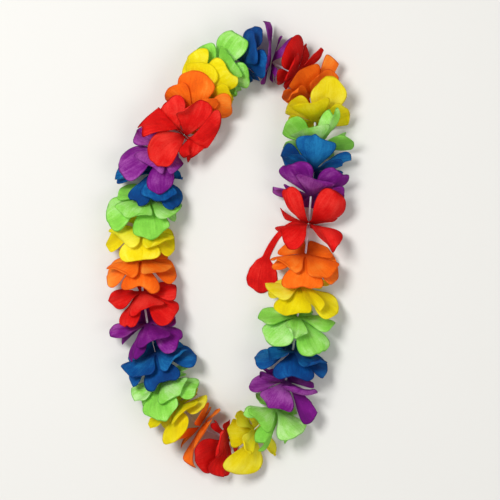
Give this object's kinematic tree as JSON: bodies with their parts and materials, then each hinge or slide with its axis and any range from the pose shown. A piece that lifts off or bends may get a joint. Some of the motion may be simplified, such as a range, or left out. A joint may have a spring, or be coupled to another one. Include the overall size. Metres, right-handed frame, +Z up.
{
  "type": "artificial flower lei",
  "caption": "Rainbow party lei laid out flat: 32 die-cut cloth blooms in six colours on a knotted string loop, with short plastic straw spacers.",
  "frame": {"origin": "centre of the loop's outline, on the surface that the lei lies on", "axes": "+Z up away from the surface, +Y along the loop's long way towards the back of the neck, +X to the right seen from above"},
  "size_m": [0.3107, 0.57, 0.0708],
  "materials": {
    "cloth_yellow": "thin dyed cloth, faintly mottled, soft sheen, cut edges darker",
    "cloth_orange": "thin dyed cloth, faintly mottled, soft sheen, cut edges darker",
    "cloth_red": "thin dyed cloth, faintly mottled, soft sheen, cut edges darker",
    "cloth_purple": "thin dyed cloth, faintly mottled, soft sheen, cut edges darker",
    "cloth_blue": "thin dyed cloth, faintly mottled, soft sheen, cut edges darker",
    "cloth_green": "thin dyed cloth, faintly mottled, soft sheen, cut edges darker",
    "straw": "thin milky plastic tube, slightly see-through",
    "string": "thin twisted cotton thread"
  },
  "bodies": {
    "root": {"string": "string", "bloom_01_yellow": "cloth_yellow", "straw_01": "straw", "bloom_02_orange": "cloth_orange", "straw_02": "straw", "bloom_03_red": "cloth_red", "straw_03": "straw", "bloom_04_purple": "cloth_purple", "bloom_05_blue": "cloth_blue", "straw_05": "straw", "bloom_06_green": "cloth_green", "straw_06": "straw", "bloom_07_yellow": "cloth_yellow", "straw_07": "straw", "bloom_08_orange": "cloth_orange", "straw_08": "straw", "bloom_09_red": "cloth_red", "straw_09": "straw", "bloom_10_purple": "cloth_purple", "bloom_11_blue": "cloth_blue", "straw_11": "straw", "bloom_12_green": "cloth_green", "straw_12": "straw", "bloom_13_yellow": "cloth_yellow", "straw_13": "straw", "bloom_14_orange": "cloth_orange", "straw_14": "straw", "bloom_15_red": "cloth_red", "straw_15": "straw", "bloom_16_yellow": "cloth_yellow", "bloom_17_green": "cloth_green", "straw_17": "straw", "bloom_18_purple": "cloth_purple", "straw_18": "straw", "bloom_19_blue": "cloth_blue", "straw_19": "straw", "bloom_20_green": "cloth_green", "straw_20": "straw", "bloom_21_yellow": "cloth_yellow", "straw_21": "straw", "bloom_22_orange": "cloth_orange", "straw_22": "straw", "bloom_23_red": "cloth_red", "straw_23": "straw", "bloom_24_purple": "cloth_purple", "straw_24": "straw", "bloom_25_blue": "cloth_blue", "bloom_26_green": "cloth_green", "straw_26": "straw", "bloom_27_yellow": "cloth_yellow", "straw_27": "straw", "bloom_28_orange": "cloth_orange", "bloom_29_red": "cloth_red", "straw_29": "straw", "bloom_30_purple": "cloth_purple", "straw_30": "straw", "bloom_31_blue": "cloth_blue", "straw_31": "straw", "bloom_32_green": "cloth_green", "straw_32": "straw"}
  },
  "joints": []
}
